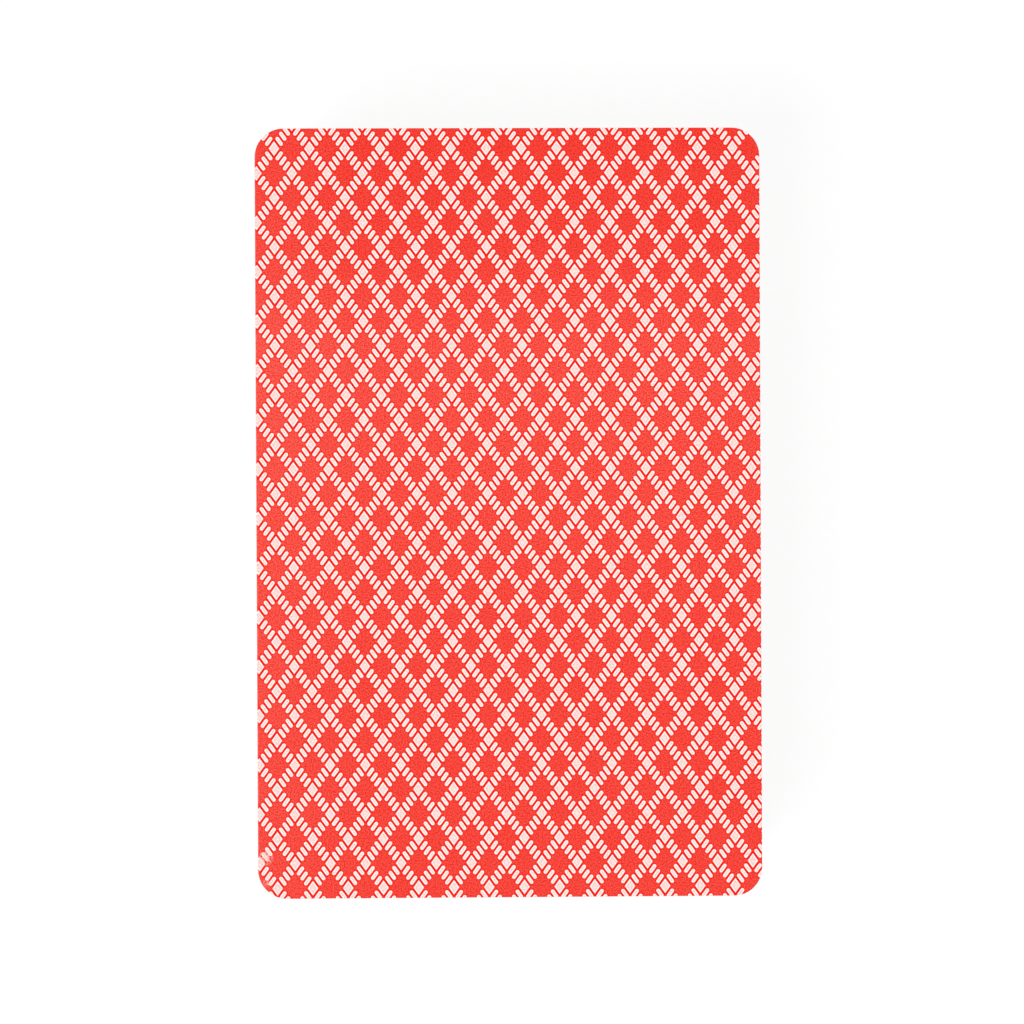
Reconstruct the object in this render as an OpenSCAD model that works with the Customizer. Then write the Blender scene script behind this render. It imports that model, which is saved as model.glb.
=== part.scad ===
// Pack of playing cards, squared up and lying face down.
// Every card is a die-cut leaf of its own, with its cut edges eased on both faces,
// stacked on the one below with the air that its embossed coating keeps.
// The pack opens as a fan about the round corners at +X -Y, each card about its own,
// so the corners are true arcs.
// Millimetres. Origin under the middle of the pack, +Y along the cards, +Z up.

/* [Card] */
// Width across the short side
card_w = 57; // [52:0.5:64]
// Length along the long side
card_l = 87; // [80:0.5:92]
// Thickness of the laminated and coated stock
card_t = 0.29; // [0.24:0.01:0.36]
// Radius of the die-cut corners
corner_r = 3.2; // [1.5:0.1:6]
// How far the die rolls the cut edge over, on each face
edge_ease = 0.04; // [0.01:0.01:0.1]

/* [Pack] */
// Air between two cards of the squared pack
air_gap = 0.01; // [0.005:0.005:0.05]
// Furthest that squaring leaves a card out of line
slip = 0.12; // [0:0.02:0.4]
// Cards in one slow lean of the squared pack's edge
lean_cards = 31; // [12:1:60]

/* [Hidden] */
// The four suits in the order of a fresh pack, bottom first
SUITS = ["spades", "diamonds", "clubs", "hearts"];
RANKS = ["ace", "two", "three", "four", "five", "six", "seven",
         "eight", "nine", "ten", "jack", "queen", "king"];
JOKERS = ["plain_joker", "coloured_joker"];
// Spades and diamonds run up from the ace, clubs and hearts run down from the king
function suit_names(s) = [for (i = [0:12]) str(RANKS[s < 2 ? i : 12 - i], "_of_", SUITS[s])];
NODES = concat(suit_names(0), suit_names(1), suit_names(2), suit_names(3), JOKERS);

// From one card's underside to the next card's
pitch = card_t + air_gap;
// Straight stretches of the long and short edges, between the corners
flat_l = card_l - 2 * corner_r;
flat_w = card_w - 2 * corner_r;
// Turn between the jitters of neighbouring cards, so that no two lie alike
GOLDEN = 137.508;
back_red = [0.973, 0.286, 0.247];
$fn = 64;

// Where squaring left card k: a slow lean of the whole edge and a small jitter of its own.
// The bottom card is the one that the others are squared to.
function lie(k) = k == 0 ? [0, 0] :
    slip * [0.55 * sin(360 * k / lean_cards) + 0.45 * sin(GOLDEN * k),
            0.55 * sin(360 * k / lean_cards + 120) + 0.45 * cos(GOLDEN * k)];

// Half of the leaf's cross-section: from a centre line out to an eased edge
module half_section(reach) {
    polygon([[0, 0], [reach - edge_ease, 0], [reach, edge_ease],
             [reach, card_t - edge_ease], [reach - edge_ease, card_t], [0, card_t]]);
}

// Whole cross-section of a leaf that is two reaches wide
module cross_section(reach) {
    half_section(reach);
    mirror([1, 0]) half_section(reach);
}

// One leaf, flat on the XY plane: the long edges, the short edges and a turned corner at each end of both
module card_blank() {
    rotate([90, 0, 0])
        linear_extrude(flat_l, center = true) cross_section(card_w / 2);
    rotate([90, 0, 90])
        linear_extrude(flat_w, center = true) cross_section(card_l / 2);
    for (x = [-1, 1], y = [-1, 1])
        translate([x * flat_w / 2, y * flat_l / 2])
            rotate_extrude() half_section(corner_r);
}

// Card k of the pack, counted from the table up, with its back upward
module card(k) {
    at = lie(k);
    color(back_red)
        translate([at[0], at[1], k * pitch])
            card_blank();
}

for (k = [0 : len(NODES) - 1])
    card(k);
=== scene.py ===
import math

import bmesh
import bpy
from mathutils import Matrix, Vector


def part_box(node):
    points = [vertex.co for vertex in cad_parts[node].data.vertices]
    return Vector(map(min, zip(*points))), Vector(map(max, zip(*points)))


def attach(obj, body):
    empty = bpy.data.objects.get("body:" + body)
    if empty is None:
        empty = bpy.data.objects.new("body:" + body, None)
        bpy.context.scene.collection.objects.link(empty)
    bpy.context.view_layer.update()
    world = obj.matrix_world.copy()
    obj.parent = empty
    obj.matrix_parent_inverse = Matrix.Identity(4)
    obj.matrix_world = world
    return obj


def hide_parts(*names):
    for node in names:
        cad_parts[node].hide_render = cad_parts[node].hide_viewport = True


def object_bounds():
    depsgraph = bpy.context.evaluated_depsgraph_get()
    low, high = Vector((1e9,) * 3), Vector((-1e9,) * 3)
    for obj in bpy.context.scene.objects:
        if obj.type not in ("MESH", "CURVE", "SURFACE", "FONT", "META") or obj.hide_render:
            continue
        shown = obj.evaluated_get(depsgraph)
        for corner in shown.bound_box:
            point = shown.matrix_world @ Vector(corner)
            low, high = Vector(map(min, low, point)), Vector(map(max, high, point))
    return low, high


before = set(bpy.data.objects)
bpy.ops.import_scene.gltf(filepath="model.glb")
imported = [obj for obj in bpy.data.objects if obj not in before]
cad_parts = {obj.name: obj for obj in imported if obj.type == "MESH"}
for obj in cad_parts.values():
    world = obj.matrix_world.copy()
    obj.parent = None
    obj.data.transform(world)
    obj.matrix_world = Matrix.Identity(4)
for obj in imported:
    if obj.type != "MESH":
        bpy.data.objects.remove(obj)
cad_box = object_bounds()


# The view: straight down on the back of the top card through a long lens, as from a copy stand.
# The eye stands a little left of the pack's middle and leans a degree towards it.
MM = 0.001
eye_aside = -4.094 * MM
eye_along = 1.367 * MM
eye_above_back = 273.346 * MM
eye_turn = (-0.257, -0.923, -0.262)
film_width = 36
lens = 85
scene = bpy.context.scene
scene.view_settings.view_transform = "Standard"
camera_data = bpy.data.cameras.new("view")
camera_data.sensor_width = film_width
camera_data.lens = lens
camera = bpy.data.objects.new("view", camera_data)
camera.location = (eye_aside, eye_along, cad_box[1].z + eye_above_back)
camera.rotation_euler = [math.radians(turn) for turn in eye_turn]
scene.collection.objects.link(camera)
scene.camera = camera


# The table: a plain matt white sheet that the pack lies on, so wide that no view sees its end.
# It takes the pack's soft shadow, and a glow that only the eye and reflections see keeps it white.
table_half = 4.0
table_air = 0.02 * MM
table_glow = 0.824
sheet_white = 0.8
sheet_white_seen = 0.2


def add_node(tree, kind, inputs=(), **settings):
    """A shader node with its settings made and each input set to a value or joined to an output."""
    node = tree.nodes.new("ShaderNode" + kind)
    for name, value in settings.items():
        setattr(node, name, value)
    for key, value in dict(inputs).items():
        if isinstance(value, bpy.types.NodeSocket):
            tree.links.new(value, node.inputs[key])
        else:
            node.inputs[key].default_value = value
    return node


def reckon(tree, operation, *terms):
    """One step of arithmetic between node outputs and plain numbers."""
    return add_node(tree, "Math", enumerate(terms), operation=operation).outputs[0]


def seen_or_mirrored(tree):
    """1 for rays from the eye and for those that left a shiny or clear surface, else 0."""
    path = add_node(tree, "LightPath").outputs
    mirrored = reckon(tree, "MAXIMUM", path["Is Glossy Ray"], path["Is Transmission Ray"])
    return reckon(tree, "MAXIMUM", path["Is Camera Ray"], mirrored)


sheet = bmesh.new()
bmesh.ops.create_grid(sheet, x_segments=1, y_segments=1, size=table_half)
bmesh.ops.translate(sheet, vec=(0, 0, cad_box[0].z - table_air), verts=sheet.verts)
table_mesh = bpy.data.meshes.new("table")
sheet.to_mesh(table_mesh)
sheet.free()
table_finish = bpy.data.materials.new("matt white sheet")
table_finish.use_nodes = True
tree = table_finish.node_tree
tree.nodes.clear()
seen = seen_or_mirrored(tree)
tone = reckon(tree, "MULTIPLY_ADD", seen, sheet_white_seen - sheet_white, sheet_white)
matt = add_node(tree, "BsdfDiffuse", {"Color": tone})
glow = add_node(tree, "Emission", {"Strength": reckon(tree, "MULTIPLY", seen, table_glow)})
both = add_node(tree, "AddShader", {0: matt.outputs[0], 1: glow.outputs[0]})
add_node(tree, "OutputMaterial", {"Surface": both.outputs[0]})
table_mesh.materials.append(table_finish)
table = bpy.data.objects.new("table", table_mesh)
scene.collection.objects.link(table)


# The light: a bright even room with two broad far lamps, the key in front on the left and a weaker fill
# behind. Together they light a level white surface to just under white, far off as well as near by.
room_light = 0.546
lamp_spread = math.radians(35)
lamps = [("key", (-0.55, -0.5, 0.75), 1.504), ("fill", (0.6, 0.55, 0.7), 0.608)]
room = bpy.data.worlds.new("studio")
room.use_nodes = True
scene.world = room
tree = room.node_tree
tree.nodes.clear()
lift = reckon(tree, "MULTIPLY_ADD", seen_or_mirrored(tree), 1 - room_light, room_light)
backdrop = add_node(tree, "Background", {"Color": (1, 1, 1, 1), "Strength": lift})
add_node(tree, "OutputWorld", {"Surface": backdrop.outputs[0]})
for name, place, strength in lamps:
    lamp_data = bpy.data.lights.new(name, "SUN")
    lamp_data.angle = lamp_spread
    lamp_data.energy = strength
    lamp = bpy.data.objects.new(name, lamp_data)
    lamp.location = place
    lamp.rotation_euler = (-Vector(place)).to_track_quat("-Z", "Y").to_euler()
    scene.collection.objects.link(lamp)


# The leaf: two sheets of white paper glued round a dark core, coated, and die-cut to a round-cornered card.
# The die rolls both rims over a little, so the print of the back runs on over the rim.
corner_r = 3.2
corner_steps = 12
edge_ease = 0.04
ease_steps = 2
rim_slope = 0.5
flat_slope = 0.999
print_span = 100
LAYERS = ["back", "edge", "stock", "black", "red", "gold", "blue"]


def cut_leaf(node):
    """The leaf of one card in millimetres, centred, back up, with its face left open for the print."""
    low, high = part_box(node)
    width, length, thickness = (high - low) / MM
    leaf = bmesh.new()
    bmesh.ops.create_grid(leaf, x_segments=1, y_segments=1, size=0.5)
    bmesh.ops.scale(leaf, vec=(width, length, 1), verts=leaf.verts)
    bmesh.ops.bevel(leaf, geom=leaf.verts[:], offset=corner_r, offset_type="OFFSET", affect="VERTICES",
                    segments=corner_steps, profile=0.5, material=-1)
    raised = bmesh.ops.extrude_face_region(leaf, geom=leaf.faces[:])["geom"]
    raised = [part for part in raised if isinstance(part, bmesh.types.BMVert)]
    bmesh.ops.translate(leaf, vec=(0, 0, thickness), verts=raised)
    rims = [edge for edge in leaf.edges if abs(edge.verts[0].co.z - edge.verts[1].co.z) < edge_ease]
    bmesh.ops.bevel(leaf, geom=rims, offset=edge_ease, offset_type="OFFSET", affect="EDGES",
                    segments=ease_steps, profile=0.5, material=-1)
    bmesh.ops.recalc_face_normals(leaf, faces=leaf.faces[:])
    for face in leaf.faces:
        slope = face.normal.z
        layer = "back" if slope > rim_slope else "stock" if slope < -rim_slope else "edge"
        face.material_index = LAYERS.index(layer)
        face.smooth = abs(slope) < flat_slope
    face_side = [face for face in leaf.faces if face.normal.z < -flat_slope]
    bmesh.ops.delete(leaf, geom=face_side, context="FACES_ONLY")
    return leaf


def shade(red, green, blue):
    """A colour in 0 to 255 as the screen shows it, as the linear colour that a shader takes."""
    return [((part / 255 + 0.055) / 1.055) ** 2.4 for part in (red, green, blue)] + [1]


def fade(tree, value, start, end, first=0.0, last=1.0):
    """Runs from first to last while a value runs from start to end, and stays level outside them."""
    limits = {"From Min": start, "From Max": end, "To Min": first, "To Max": last}
    return add_node(tree, "MapRange", {"Value": value, **limits}).outputs[0]


def print_place(tree):
    """Where a point lies on its card, in millimetres from the card's middle, from the map named print."""
    flat = add_node(tree, "UVMap", uv_map="print").outputs[0]
    to_middle = (-print_span / 2, -print_span / 2, 0)
    to_size = (print_span, print_span, 1)
    return add_node(tree, "Mapping", {"Vector": flat, "Location": to_middle, "Scale": to_size}).outputs[0]


def grain(tree, place, size, detail=2.0, spread=0.25):
    """Noise from 0 to 1 with grains of about that size in millimetres; a smaller spread is harder."""
    noise = add_node(tree, "TexNoise", {"Vector": place, "Scale": 1 / size, "Detail": detail})
    return fade(tree, noise.outputs["Fac"], 0.5 - spread, 0.5 + spread)


def blend(tree, amount, first, second, way="MIX"):
    """Two colours mixed, or laid over each other in another way."""
    mix = tree.nodes.new("ShaderNodeMix")
    mix.data_type = "RGBA"
    mix.blend_type = way
    for name, value in (("Factor", amount), ("A", first), ("B", second)):
        socket = [s for s in mix.inputs if s.name == name and s.enabled][0]
        if isinstance(value, bpy.types.NodeSocket):
            tree.links.new(value, socket)
        else:
            socket.default_value = value
    return [s for s in mix.outputs if s.enabled][0]


def start_finish(name, roughness, shine):
    """A new material with one shader; the caller joins its colour."""
    finish = bpy.data.materials.new(name)
    finish.use_nodes = True
    tree = finish.node_tree
    tree.nodes.clear()
    satin = add_node(tree, "BsdfPrincipled", {"Roughness": roughness, "Specular IOR Level": shine})
    add_node(tree, "OutputMaterial", {"Surface": satin.outputs[0]})
    return finish, tree, satin


def add_tooth(tree, satin, height, strength):
    """The fine relief of coated paper, a few thousandths of a millimetre deep."""
    tooth_depth = 0.004 * MM
    bump = add_node(tree, "Bump", {"Height": height, "Strength": strength, "Distance": tooth_depth})
    tree.links.new(bump.outputs[0], satin.inputs["Normal"])


def cut_edge():
    """Raw cut paper: off-white plies with the dark glue line between them, each card a little different."""
    fibre_size = 0.35
    batch_scale = (0.02, 0.02, 3.1)
    batch_change = 0.38
    core_half = (0.05, 0.16)
    core_tone = (0.28, 0.0)
    ply_white = (shade(245, 242, 236), shade(254, 253, 250))
    batch_white = shade(232, 227, 218)
    glue_grey = shade(166, 160, 158)
    finish, tree, satin = start_finish("cut edge", roughness=0.85, shine=0.2)
    layers = add_node(tree, "UVMap", uv_map="print").outputs[0]
    depth = add_node(tree, "SeparateXYZ", {"Vector": layers}).outputs["Y"]
    off_core = reckon(tree, "ABSOLUTE", reckon(tree, "SUBTRACT", depth, 0.5))
    core = fade(tree, off_core, *core_half, *core_tone)
    solid = add_node(tree, "TexCoord").outputs["Object"]
    in_mm = add_node(tree, "VectorMath", {0: solid, "Scale": 1 / MM}, operation="SCALE").outputs[0]
    level = add_node(tree, "Mapping", {"Vector": in_mm, "Scale": batch_scale}).outputs[0]
    batch = reckon(tree, "MULTIPLY", grain(tree, level, 1.0, detail=1.0), batch_change)
    fibre = grain(tree, in_mm, fibre_size, detail=4.0)
    paper = blend(tree, fibre, *ply_white)
    paper = blend(tree, batch, paper, batch_white)
    tree.links.new(blend(tree, core, paper, glue_grey), satin.inputs["Base Color"])
    return finish


def bare_stock():
    """The unprinted face: bright coated paper with a fine tooth under the varnish."""
    tooth_size = 0.16
    cloud_size = 9.0
    cloud_change = 0.25
    coat_white = (shade(245, 243, 238), shade(250, 249, 246))
    cloud_white = shade(241, 238, 230)
    finish, tree, satin = start_finish("face stock", roughness=0.5, shine=0.25)
    place = print_place(tree)
    tooth = grain(tree, place, tooth_size)
    cloud = reckon(tree, "MULTIPLY", grain(tree, place, cloud_size), cloud_change)
    paper = blend(tree, tooth, *coat_white)
    tree.links.new(blend(tree, cloud, paper, cloud_white), satin.inputs["Base Color"])
    add_tooth(tree, satin, tooth, strength=0.25)
    return finish


finishes = {"edge": cut_edge(), "stock": bare_stock()}


# The back: a red ground with an all-over trellis left pale, printed edge to edge with no border.
# Each pale band is a row of three round-ended bars between two small diamonds, and the bands cross at the
# diamonds. The ink lies darker in a line round each pale figure, and darkest in the slits between them.
mesh_across = 3.9846
mesh_along = 5.5691
mesh_offset = (-0.456, -0.545)
bar_pitch = 0.2045
bar_half = 0.353
bar_radius = 0.2045
diamond_half = 0.1471
band_step = math.hypot(mesh_across, mesh_along) / 2
band_angle = 2 * math.atan2(mesh_along, mesh_across)
full_red = shade(247, 55, 42)
pale_red = shade(255, 83, 69)
ring_red = shade(253, 10, 0)
diamond_pink = shade(252, 224, 218)
bar_pink = shade(252, 196, 194)
rim_white = shade(255, 249, 243)
rim_cream = shade(255, 251, 238)
scuff_pink = shade(255, 205, 195)
pale_by_depth = [(-0.4, diamond_pink), (-0.27, diamond_pink), (-0.2, bar_pink), (-0.1, rim_white),
                 (0.0, rim_cream)]
# The red ground is paler in broad bands along the card's length, given as y in millimetres and a share of
# pale red, and paler again towards its left side.
ground_paleness_along = [(-43.5, 0.28), (-19.0, 0.32), (0.0, 0.5), (19.0, 0.68), (29.0, 0.24), (43.5, 0.06)]
left_side = (-16, -28, 0, 0.3)
ring_reach = (0.225, 0.112)
ring_past_end = (0.05, 0.25, 1.0, 0.42)
print_blur = 0.015
speck_size = 0.16
speck_spread = 0.2
ink_specks = ((0.85, 0.15, 0.08, 1), (1.06, 1.87, 2.08, 1))
pale_specks = ((0.91, 0.8, 0.79, 1), (1.05, 1.18, 1.19, 1))
cloud_size = 5.0
cloud_change = (-0.08, 0.08)
flake_size = 0.26
flake_range = (0.4, 0.58)
scuff_core = 0.4
top_card_scuffs = [(-27.7, -38.85, 0.95, 1.0), (-27.5, -41.65, 0.6, 0.6)]


def bar_distance(tree, run, cross):
    """Signed distance in millimetres to the bars of bands that run one way, and how far past a bar's end."""
    from_middle = reckon(tree, "SUBTRACT", reckon(tree, "FRACT", run), 0.5)
    number = reckon(tree, "ROUND", reckon(tree, "DIVIDE", from_middle, bar_pitch))
    number = reckon(tree, "MAXIMUM", reckon(tree, "MINIMUM", number, 1), -1)
    off_bar = reckon(tree, "MULTIPLY_ADD", number, -bar_pitch, from_middle)
    off_band = reckon(tree, "SUBTRACT", reckon(tree, "FRACT", reckon(tree, "ADD", cross, 0.5)), 0.5)
    aside = reckon(tree, "MULTIPLY", off_bar, band_step * math.sin(band_angle))
    along = reckon(tree, "MULTIPLY_ADD", off_bar, math.cos(band_angle), off_band)
    along = reckon(tree, "ABSOLUTE", reckon(tree, "MULTIPLY", along, band_step))
    past_end = reckon(tree, "MAXIMUM", reckon(tree, "SUBTRACT", along, bar_half), 0)
    square = reckon(tree, "MULTIPLY_ADD", aside, aside, reckon(tree, "MULTIPLY", past_end, past_end))
    return reckon(tree, "SUBTRACT", reckon(tree, "SQRT", square), bar_radius), past_end


def nearest_whole(tree, value):
    """How far a lattice coordinate is from the nearest crossing."""
    return reckon(tree, "ABSOLUTE", reckon(tree, "SUBTRACT", value, reckon(tree, "ROUND", value)))


def trellis_distance(tree, parts):
    """Signed distance in millimetres to the pale figures, below 0 inside, and how far past a bar's end."""
    right = reckon(tree, "DIVIDE", reckon(tree, "SUBTRACT", parts["X"], mesh_offset[0]), mesh_across)
    up = reckon(tree, "DIVIDE", reckon(tree, "SUBTRACT", parts["Y"], mesh_offset[1]), mesh_along)
    falling = reckon(tree, "SUBTRACT", right, up)
    rising = reckon(tree, "ADD", right, up)
    bars_down, past_down = bar_distance(tree, falling, rising)
    bars_up, past_up = bar_distance(tree, rising, falling)
    bars = reckon(tree, "MINIMUM", bars_down, bars_up)
    off = reckon(tree, "MAXIMUM", nearest_whole(tree, falling), nearest_whole(tree, rising))
    off = reckon(tree, "SUBTRACT", off, diamond_half)
    diamond = reckon(tree, "MULTIPLY", off, band_step * math.sin(band_angle))
    return reckon(tree, "MINIMUM", bars, diamond), reckon(tree, "MINIMUM", past_down, past_up)


def by_place(tree, value, stops):
    """A colour for each value, blended between the stops."""
    low = stops[0][0]
    high = stops[-1][0]
    ramp = add_node(tree, "ValToRGB", {"Fac": fade(tree, value, low, high)})
    band = ramp.color_ramp.elements
    for stop, colour in stops[1:-1]:
        band.new((stop - low) / (high - low)).color = colour
    band[0].color = stops[0][1]
    band[-1].color = stops[-1][1]
    return ramp.outputs["Color"]


def trellis_back(name, scuffs=()):
    """The printed and varnished back. A scuff is where handling broke the ink: x, y, reach and depth."""
    finish, tree, satin = start_finish(name, roughness=0.52, shine=0.13)
    place = print_place(tree)
    parts = add_node(tree, "SeparateXYZ", {"Vector": place}).outputs
    # The ground runs from full red towards pale red in bands along the card, towards the left side and in a
    # random mottle.
    along = by_place(tree, parts["Y"], [(y, (lay, lay, lay, 1)) for y, lay in ground_paleness_along])
    paler = reckon(tree, "ADD", along, fade(tree, parts["X"], *left_side))
    paler = reckon(tree, "ADD", paler, fade(tree, grain(tree, place, cloud_size), 0, 1, *cloud_change))
    ground = blend(tree, paler, full_red, pale_red)
    distance, past_end = trellis_distance(tree, parts)
    ring = reckon(tree, "MULTIPLY", fade(tree, distance, *ring_reach), fade(tree, past_end, *ring_past_end))
    ink = blend(tree, ring, ground, ring_red)
    pale = by_place(tree, distance, pale_by_depth)
    speck = grain(tree, place, speck_size, detail=1.0, spread=speck_spread)
    ink = blend(tree, 1.0, ink, blend(tree, speck, *ink_specks), "MULTIPLY")
    pale = blend(tree, 1.0, pale, blend(tree, speck, *pale_specks), "MULTIPLY")
    colour = blend(tree, fade(tree, distance, -print_blur, print_blur), pale, ink)
    flaked = fade(tree, grain(tree, place, flake_size, detail=3.0), *flake_range)
    for x, y, reach, depth in scuffs:
        off = add_node(tree, "VectorMath", {0: place, 1: (x, y, 0)}, operation="DISTANCE").outputs["Value"]
        near = fade(tree, off, reach, scuff_core * reach, 0, depth)
        colour = blend(tree, reckon(tree, "MULTIPLY", near, flaked), colour, scuff_pink)
    tree.links.new(colour, satin.inputs["Base Color"])
    add_tooth(tree, satin, speck, strength=0.2)
    return finish


finishes["back"] = trellis_back("trellis back")
finishes["worn back"] = trellis_back("worn trellis back", top_card_scuffs)


# The suits: spade, heart, diamond and club, each printed solid from one plate in black or red.
# An outline is drawn once, one unit high, and serves the large pips and the small ones of the indices.
# A knot of an outline is a bend where the line runs round, or a corner.
bend = "AUTO"
corner = "VECTOR"
pip_steps = 8


def printing_ink(name, colour, paler):
    """A solid of ink that lets a little of the paper's tooth through."""
    tooth_size = 0.14
    finish, tree, satin = start_finish(name, roughness=0.48, shine=0.25)
    tooth = grain(tree, print_place(tree), tooth_size)
    tree.links.new(blend(tree, tooth, shade(*colour), shade(*paler)), satin.inputs["Base Color"])
    add_tooth(tree, satin, tooth, strength=0.2)
    return finish


finishes["black"] = printing_ink("black ink", (22, 21, 23), (38, 37, 40))
finishes["red"] = printing_ink("red ink", (196, 20, 28), (214, 34, 38))
finishes["gold"] = printing_ink("yellow ink", (232, 172, 40), (240, 186, 66))
finishes["blue"] = printing_ink("blue ink", (30, 62, 140), (44, 78, 156))


def both_sides(half):
    """A closed outline from its right half, which runs from the top down to the middle line."""
    return half + [(-x, y, turn) for x, y, turn in reversed(half) if x > 0]


def outline(*loops, steps=5):
    """A flat shape from closed loops of knots; a loop inside another is a hole."""
    curve = bpy.data.curves.new("outline", "CURVE")
    curve.dimensions = "2D"
    curve.fill_mode = "BOTH"
    curve.resolution_u = steps
    for loop in loops:
        spline = curve.splines.new("BEZIER")
        spline.bezier_points.add(len(loop) - 1)
        spline.use_cyclic_u = True
        for knot, (x, y, turn) in zip(spline.bezier_points, loop):
            knot.co = (x, y, 0)
            knot.handle_left_type = turn
            knot.handle_right_type = turn
    return bpy.data.meshes.new_from_object(bpy.data.objects.new("outline", curve))


stem = [(0.055, -0.2, corner), (0.08, -0.36, bend), (0.17, -0.5, corner)]
spade_loop = both_sides([(0, 0.5, corner), (0.21, 0.2, bend), (0.43, -0.12, bend),
                         (0.25, -0.32, bend)] + stem)
heart_loop = both_sides([(0, 0.25, corner), (0.23, 0.48, bend), (0.45, 0.2, bend), (0.25, -0.18, bend),
                         (0, -0.5, corner)])
diamond_loop = both_sides([(0, 0.5, corner), (0.165, 0.226, bend), (0.37, 0, corner), (0.165, -0.226, bend),
                           (0, -0.5, corner)])
club_loop = both_sides([(0, 0.5, bend), (0.215, 0.285, bend), (0.1, 0.09, corner), (0.25, 0.115, bend),
                        (0.465, -0.1, bend), (0.25, -0.315, bend)] + stem)
suits = {"spades": (outline(spade_loop, steps=pip_steps), "black"),
         "diamonds": (outline(diamond_loop, steps=pip_steps), "red"),
         "clubs": (outline(club_loop, steps=pip_steps), "black"),
         "hearts": (outline(heart_loop, steps=pip_steps), "red")}


def at(x, y, height, turned=False):
    """Where a shape one unit high goes on the face, in millimetres from its middle."""
    turn = Matrix.Rotation(math.pi if turned else 0, 4, "Z")
    return Matrix.Translation((x, y, 0)) @ turn @ Matrix.Scale(height, 4)


def two_way(marks):
    """The same marks again with the card turned end for end."""
    half_turn = Matrix.Rotation(math.pi, 4, "Z")
    return marks + [(shape, ink, half_turn @ place) for shape, ink, place in marks]


# The corner indices: the rank in a plain upright letter over a small pip, at two opposite corners.
# They stand close to the edge so that a narrow fan still shows them, and they are printed with the pips.
index_x = -25.5
index_y = 36.2
index_h = 6.0
index_w = 3.2
index_weight = 0.25
letter_steps = 3
letter_kink = 0.05
index_pip_y = 29.6
index_pip_h = 4.2
line_weight = 0.2
flat_angle = math.radians(0.3)


def rank_letter(letters):
    """A rank as a flat shape, one index high and never wider than an index, about its own middle."""
    text = bpy.data.curves.new("rank", "FONT")
    text.body = letters
    text.resolution_u = letter_steps
    shape = bpy.data.meshes.new_from_object(bpy.data.objects.new("rank", text))
    low = Vector([min(v.co[i] for v in shape.vertices) for i in range(3)])
    high = Vector([max(v.co[i] for v in shape.vertices) for i in range(3)])
    tall = (index_h - 2 * index_weight) / (high.y - low.y)
    wide = min(tall, (index_w - 2 * index_weight) / (high.x - low.x))
    shape.transform(Matrix.Diagonal((wide, tall, 1, 1)) @ Matrix.Translation(-(low + high) / 2))
    bold = bmesh.new()
    bold.from_mesh(shape)
    bmesh.ops.remove_doubles(bold, verts=bold.verts[:], dist=letter_kink)
    bmesh.ops.beautify_fill(bold, faces=bold.faces[:], edges=bold.edges[:], method="ANGLE")
    bmesh.ops.inset_region(bold, faces=bold.faces[:], thickness=index_weight, use_boundary=True,
                           use_even_offset=True, use_outset=True)
    bold.to_mesh(shape)
    bold.free()
    return shape


def index_marks(letters, suit):
    """The rank and the small pip in the two corners of a card."""
    pip, ink = suits[suit]
    letter = (rank_letter(letters), ink, at(index_x, index_y, 1))
    return two_way([letter, (pip, ink, at(index_x, index_pip_y, index_pip_h))])


def press(leaf, shape, ink, place):
    """Prints one flat shape on a leaf: solid in one ink, or filled with it inside a line of a second."""
    fill, *line = [ink] if isinstance(ink, str) else ink
    plate = bmesh.new()
    plate.from_mesh(shape)
    bmesh.ops.transform(plate, matrix=place, verts=plate.verts)
    rim = []
    if line:
        bmesh.ops.dissolve_limit(plate, angle_limit=flat_angle, verts=plate.verts[:], edges=plate.edges[:])
        field = plate.faces[:]
        rim = bmesh.ops.inset_region(plate, faces=field, thickness=line_weight,
                                     use_boundary=True, use_even_offset=True)["faces"]
        inside = [edge for edge in plate.edges if {face in rim for face in edge.link_faces} == {True, False}]
        bmesh.ops.delete(plate, geom=field, context="FACES")
        bmesh.ops.triangle_fill(plate, use_beauty=True, edges=inside, normal=(0, 0, -1))
    for face in plate.faces:
        face.material_index = LAYERS.index(line[0] if face in rim else fill)
    pressed = bpy.data.meshes.new("plate")
    plate.to_mesh(pressed)
    plate.free()
    leaf.from_mesh(pressed)
    bpy.data.meshes.remove(pressed)


def fill_with_stock(leaf):
    """Closes the face of a leaf with bare paper round the marks that are printed on it."""
    open_edges = [edge for edge in leaf.edges if edge.is_boundary]
    filled = bmesh.ops.triangle_fill(leaf, use_beauty=True, edges=open_edges, normal=(0, 0, -1))["geom"]
    for face in filled:
        if isinstance(face, bmesh.types.BMFace):
            face.material_index = LAYERS.index("stock")
    bmesh.ops.recalc_face_normals(leaf, faces=leaf.faces[:])


def map_print(leaf, thickness):
    """Gives a leaf its map named print: flat over back and face, and through the thickness on the edge."""
    sheet_map = leaf.loops.layers.uv.new("print")
    for face in leaf.faces:
        on_edge = LAYERS[face.material_index] == "edge"
        for loop in face.loops:
            x, y, z = loop.vert.co
            up = z / thickness if on_edge else y / print_span + 0.5
            loop[sheet_map].uv = (x / print_span + 0.5, up)


def print_card(node, marks, back="back"):
    """Cuts the leaf of a card, prints its face with flat marks of ink and lays it in the pack."""
    low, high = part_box(node)
    leaf = cut_leaf(node)
    face_down = Matrix.Rotation(math.pi, 4, "Y")
    for shape, ink, place in marks:
        press(leaf, shape, ink, face_down @ place)
    fill_with_stock(leaf)
    map_print(leaf, (high.z - low.z) / MM)
    middle = (low + high) / 2
    bmesh.ops.scale(leaf, vec=(MM, MM, MM), verts=leaf.verts)
    bmesh.ops.translate(leaf, vec=(middle.x, middle.y, low.z), verts=leaf.verts)
    used = sorted({face.material_index for face in leaf.faces})
    for face in leaf.faces:
        face.material_index = used.index(face.material_index)
    mesh = bpy.data.meshes.new("printed_" + node)
    leaf.to_mesh(mesh)
    leaf.free()
    for index in used:
        layer = LAYERS[index]
        mesh.materials.append(finishes[back if layer == "back" else layer])
    card = bpy.data.objects.new("printed_" + node, mesh)
    scene.collection.objects.link(card)
    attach(card, node)
    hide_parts(node)


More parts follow.
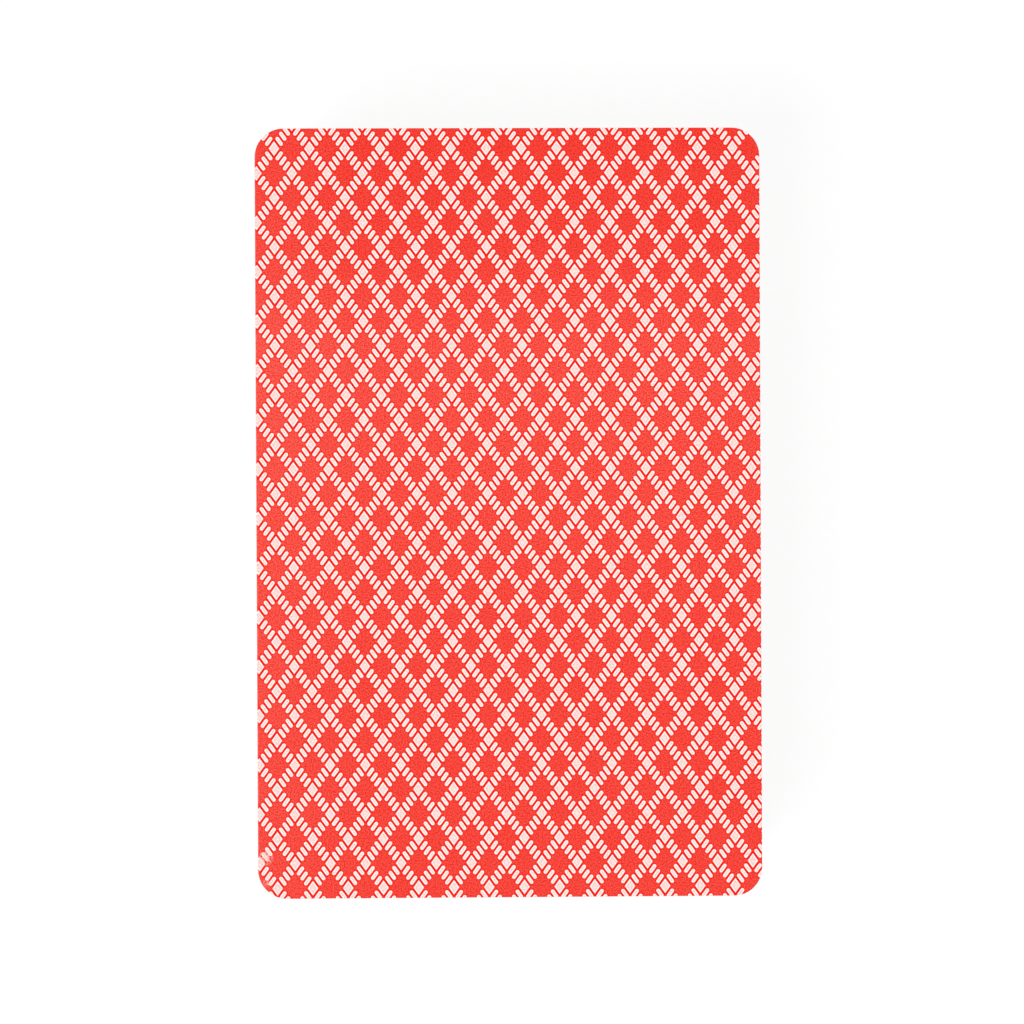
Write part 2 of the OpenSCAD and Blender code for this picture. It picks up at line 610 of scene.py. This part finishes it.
# The jokers: the two extra leaves, which lie on top, with a cap and bells inside a ruled frame.
# They have no rank, so a star stands where the index would. One is printed in all the inks, with each shape
# drawn round in black, and the other in black line alone.
key_line = "black"
frame_half = (19.0, 35.0)
frame_rule = 0.35
star_h = 5.4
star_points = 5
star_notch = 0.42
cap_drop = 2.0
cap_scale = 1.1


def rectangle(left, low, right, high):
    """A loop of knots with four square corners."""
    return [(left, low, corner), (right, low, corner), (right, high, corner), (left, high, corner)]


def lozenge(x, y, half_width, half_height):
    """A loop that stands on one of its four corners."""
    return [(x + half_width, y, corner), (x, y + half_height, corner),
            (x - half_width, y, corner), (x, y - half_height, corner)]


def disc(x, y, radius):
    """A round loop."""
    return [(x + radius, y, bend), (x, y + radius, bend), (x - radius, y, bend), (x, y - radius, bend)]


def flipped(loop):
    """A loop seen in a mirror, left for right."""
    return [(-x, y, turn) for x, y, turn in loop]


star_loop = []
for number in range(2 * star_points):
    reach = 0.5 if number % 2 == 0 else 0.5 * star_notch
    turn = math.pi / 2 + math.pi * number / star_points
    star_loop.append((reach * math.cos(turn), reach * math.sin(turn), corner))
star = outline(star_loop, steps=1)
wide, tall = frame_half
inner = wide - frame_rule
joker_frame = outline(rectangle(-wide, -tall, wide, tall),
                      rectangle(-inner, frame_rule - tall, inner, tall - frame_rule), steps=1)
middle_horn = outline(both_sides([(0, 12.2, corner), (2.6, 6.4, bend), (3.3, 0.7, corner), (0, 0.2, bend)]))
horn_loop = [(3.9, 0.5, corner), (4.8, 5.6, bend), (8.4, 8.6, bend), (12.4, 6.4, bend), (14.3, 0.7, corner),
             (13.5, 0.4, corner), (11.4, 3.4, bend), (8.9, 2.9, bend), (7.2, -0.3, corner)]
right_horn = outline(horn_loop)
left_horn = outline(flipped(horn_loop))
brim_loop = both_sides([(0, -0.5, bend), (7.5, -1.0, corner), (7.2, -3.7, corner), (0, -3.2, bend)])
brim = outline(brim_loop, *[lozenge(x, y, 1.2, 0.8) for x, y in ((-4.6, -2.15), (0, -1.85), (4.6, -2.15))])
bell = outline(disc(0, 0, 1.4), lozenge(0, -0.2, 0.3, 0.4))
bell_places = [(0, 14.0), (-14.4, -1.2), (14.4, -1.2)]
collar_point = outline([(-1.35, -4.4, corner), (1.35, -4.4, corner), (0, -9.6, corner)], steps=1)
collar_bell = outline(disc(0, -10.7, 0.75))
collar_points = [(-6.2, "red"), (-3.1, "gold"), (0, "blue"), (3.1, "gold"), (6.2, "red")]


def joker_marks(inks):
    """The inked shapes of a joker; inks gives the fill for each of the coloured one's fills."""
    shapes = [(middle_horn, "gold", (0, 0)), (right_horn, "blue", (0, 0)), (left_horn, "red", (0, 0))]
    shapes += [(brim, "black", (0, 0))]
    shapes += [(bell, "gold", place) for place in bell_places]
    for x, ink in collar_points:
        shapes += [(collar_point, ink, (x, 0)), (collar_bell, "gold", (x, 0))]
    cap_place = at(0, -cap_drop, cap_scale)
    marks = [(shape, (inks[ink], key_line), cap_place @ at(x, y, 1)) for shape, ink, (x, y) in shapes]
    stars = two_way([(star, inks["star"], at(index_x, index_y, star_h))])
    return marks + stars + [(joker_frame, inks["rule"], Matrix())]


coloured = {"gold": "gold", "blue": "blue", "red": "red", "black": "black", "star": "red", "rule": "blue"}
plain = {"gold": "stock", "blue": "black", "red": "black", "black": "stock", "star": "black",
         "rule": "black"}
print_card("coloured_joker", joker_marks(coloured), "worn back")
print_card("plain_joker", joker_marks(plain))


# The court cards: the same leaf, printed in five inks inside a ruled frame, and alike from either end.
# Each half has a badge drawn in black line: a shield with the suit's pip under a king's crown, a queen's
# coronet or a jack's cap, between crossed swords, roses or spears, and a sash of lozenges parts the halves.
sash_half = 2.8
sash_pitch = 5.1
sash_inks = ["gold", "red", "blue", "gold", "blue", "red", "gold"]
court_pip = (-13.8, 28.8, 7.0)
badge_y = 12.0
badge_pip_h = 7.6
shield_band = 0.8
head_y = 18.6
crossing_angle = math.radians(30)
rose_x = 14.7
rose_heart_r = 0.7
petal_count = 5
petal_reach = 1.75
petal_r = 0.92
ball_r = 0.8
pearl_r = 0.7


def drawn_in(loop, share, y=0):
    """A loop drawn in towards a point of the middle line."""
    return [(share * px, y + share * (py - y), turn) for px, py, turn in loop]


ruled_frame = outline(rectangle(-wide, -tall, wide, tall),
                      rectangle(-inner, sash_half + frame_rule, inner, tall - frame_rule),
                      rectangle(-inner, -sash_half, inner, sash_half),
                      rectangle(-inner, frame_rule - tall, inner, -sash_half - frame_rule), steps=1)
sash_lozenge = outline(lozenge(0, 0, 2.3, 2.2), steps=1)
shield_loop = both_sides([(0, 16.9, corner), (6.4, 17.6, corner), (6.7, 12.4, bend), (4.4, 7.2, bend),
                          (0, 4.1, corner)])
shield = outline(shield_loop, drawn_in(shield_loop, shield_band, badge_y))

# Crown, coronet and cap stand on a jewelled band, drawn from the band's foot up.
band_loop = both_sides([(0, 2.1, bend), (6.1, 2.7, corner), (5.9, 0.5, corner), (0, -0.1, bend)])
jewels = [lozenge(x, y, 0.75, 0.42) for x, y in ((-3.7, 1.26), (0, 1.0), (3.7, 1.26))]
head_band = outline(band_loop, *jewels)
foot = [(6.3, 3.0, corner), (0, 2.4, bend)]
crown = outline(both_sides([(0, 10.4, corner), (1.5, 5.6, corner), (4.1, 9.6, corner), (4.8, 5.2, corner),
                            (8.0, 8.6, corner)] + foot))
ball_places = ((-8.5, 9.7), (-4.3, 10.8), (0, 11.7), (4.3, 10.8), (8.5, 9.7))
crown_balls = [outline(disc(x, y, ball_r)) for x, y in ball_places]
coronet = outline(both_sides([(0, 7.9, bend), (1.4, 4.4, corner), (3.9, 7.3, bend), (5.1, 4.3, corner),
                              (7.7, 6.8, bend)] + foot))
pearl_places = ((-8.2, 8.1), (-4.0, 8.7), (0, 9.3), (4.0, 8.7), (8.2, 8.1))
coronet_pearls = [outline(disc(x, y, pearl_r)) for x, y in pearl_places]
cap = outline([(-6.2, 3.0, corner), (-7.9, 6.4, bend), (-4.3, 9.7, bend), (1.6, 10.0, bend),
               (7.0, 7.8, bend), (7.8, 5.0, bend), (6.2, 3.0, corner), (0, 2.4, bend)])
plume = outline([(1.8, 10.8, corner), (4.2, 13.3, bend), (8.6, 14.0, bend), (12.8, 11.6, corner),
                 (9.6, 11.2, bend), (5.6, 10.2, bend)])

# What crosses behind the shield lies along a line through the shield's middle, the near end first.
blade = outline([(8.5, -0.75, corner), (16.6, -0.75, corner), (18.2, 0, corner), (16.6, 0.75, corner),
                 (8.5, 0.75, corner)], steps=1)
guard = outline([(-8.6, -2.3, bend), (-8.1, 0, bend), (-8.6, 2.3, bend), (-9.4, 2.3, bend), (-9.2, 0, bend),
                 (-9.4, -2.3, bend)])
grip = outline(rectangle(-12.4, -0.5, -9.7, 0.5), steps=1)
pommel = outline(disc(-13.5, 0, 0.9))
stalk = outline(rectangle(8.3, -0.28, 12.1, 0.28), steps=1)
stalk_end = outline(rectangle(-13.8, -0.28, -7.9, 0.28), steps=1)
leaf_blades = [outline([(-8.8, 0.7 * side, corner), (-9.4, 2.0 * side, bend), (-12.2, 3.0 * side, corner),
                        (-11.2, 1.0 * side, bend)]) for side in (-1, 1)]
petals = []
for number in range(petal_count):
    turn = math.tau * number / petal_count
    x, y = petal_reach * math.cos(turn), petal_reach * math.sin(turn)
    petals.append(outline(disc(rose_x + x, y, petal_r)))
rose_heart = outline(disc(rose_x, 0, rose_heart_r))
spear_shaft = outline(rectangle(8.3, -0.4, 13.4, 0.4), steps=1)
spear_butt = outline(rectangle(-14.0, -0.4, -7.9, 0.4), steps=1)
spear_head = outline([(13.7, -0.7, corner), (15.2, -1.4, bend), (18.6, 0, corner), (15.2, 1.4, bend),
                      (13.7, 0.7, corner)])


def court_marks(rank_name, suit):
    """The inked shapes of one court card."""
    pip, suit_ink = suits[suit]
    cloth = ("red" if suit_ink == "red" else "blue", key_line)
    trim = ("blue" if suit_ink == "red" else "red", key_line)
    gilt = ("gold", key_line)
    white = ("stock", key_line)
    heads = {"king": [(crown, gilt)] + [(ball, trim) for ball in crown_balls],
             "queen": [(coronet, gilt)] + [(pearl, white) for pearl in coronet_pearls],
             "jack": [(cap, cloth), (plume, gilt)]}
    roses = [(petal, ("red", key_line)) for petal in petals]
    leaves = [(leaf_blade, ("blue", key_line)) for leaf_blade in leaf_blades]
    arms = {"king": [(blade, white), (guard, gilt), (grip, cloth), (pommel, gilt)],
            "queen": [(stalk, "black"), (stalk_end, "black"), (rose_heart, gilt)] + roses + leaves,
            "jack": [(spear_shaft, gilt), (spear_butt, gilt), (spear_head, white)]}
    half = [(shape, ink, at(0, head_y, 1)) for shape, ink in heads[rank_name] + [(head_band, cloth)]]
    half += [(shield, gilt, Matrix()), (pip, suit_ink, at(0, badge_y, badge_pip_h))]
    half += [(pip, suit_ink, at(*court_pip))]
    for side in (1, -1):
        leaning = Matrix.Diagonal((side, 1, 1, 1)) @ Matrix.Rotation(crossing_angle, 4, "Z")
        half += [(shape, ink, at(0, badge_y, 1) @ leaning) for shape, ink in arms[rank_name]]
    middle = (len(sash_inks) - 1) / 2
    sash = [(sash_lozenge, (ink, key_line), at(sash_pitch * (number - middle), 0, 1))
            for number, ink in enumerate(sash_inks)]
    return two_way(half) + sash + [(ruled_frame, "blue", Matrix())]


for suit in suits:
    for rank_name in ("jack", "queen", "king"):
        letter = rank_name[0].upper()
        print_card(f"{rank_name}_of_{suit}", court_marks(rank_name, suit) + index_marks(letter, suit))


# The number cards: pips in two columns and a middle row, those of the lower half turned end for end.
# The ace has one large pip, and the ace of spades a larger one with a line left bare inside its edge.
pip_h = 9.4
column_x = 11.8
row_y = 27.0
ace_h = 17.0
spade_ace_h = 34.0
spade_ace_steps = 16
ace_line_share = 0.9
ace_line = both_sides([(0, 0.37, corner), (0.16, 0.13, bend), (0.34, -0.11, bend), (0.2, -0.235, bend),
                       (0, -0.13, corner)])
spade_ace = outline(spade_loop, ace_line, drawn_in(ace_line, ace_line_share), steps=spade_ace_steps)
rank_names = ["ace", "two", "three", "four", "five", "six", "seven", "eight", "nine", "ten"]
pips_a_side = {4: 2, 5: 2, 6: 3, 7: 3, 8: 3, 9: 4, 10: 4}
middle_rows = {2: [1, -1], 3: [1, 0, -1], 5: [0], 7: [0.5], 8: [0.5, -0.5], 9: [0], 10: [2 / 3, -2 / 3]}


def pip_places(rank):
    """Where the pips of a number card stand, from the card's middle."""
    count = pips_a_side.get(rank, 0)
    sides = [(x, row_y * (1 - 2 * i / (count - 1))) for i in range(count) for x in (-column_x, column_x)]
    return sides + [(0, row_y * row) for row in middle_rows.get(rank, [])]


for suit, (pip, ink) in suits.items():
    ace = (spade_ace, ink, at(0, 0, spade_ace_h)) if suit == "spades" else (pip, ink, at(0, 0, ace_h))
    print_card(f"ace_of_{suit}", [ace] + index_marks("A", suit))
    for rank, rank_name in enumerate(rank_names[1:], 2):
        marks = [(pip, ink, at(x, y, pip_h, y < 0)) for x, y in pip_places(rank)]
        print_card(f"{rank_name}_of_{suit}", marks + index_marks(str(rank), suit))
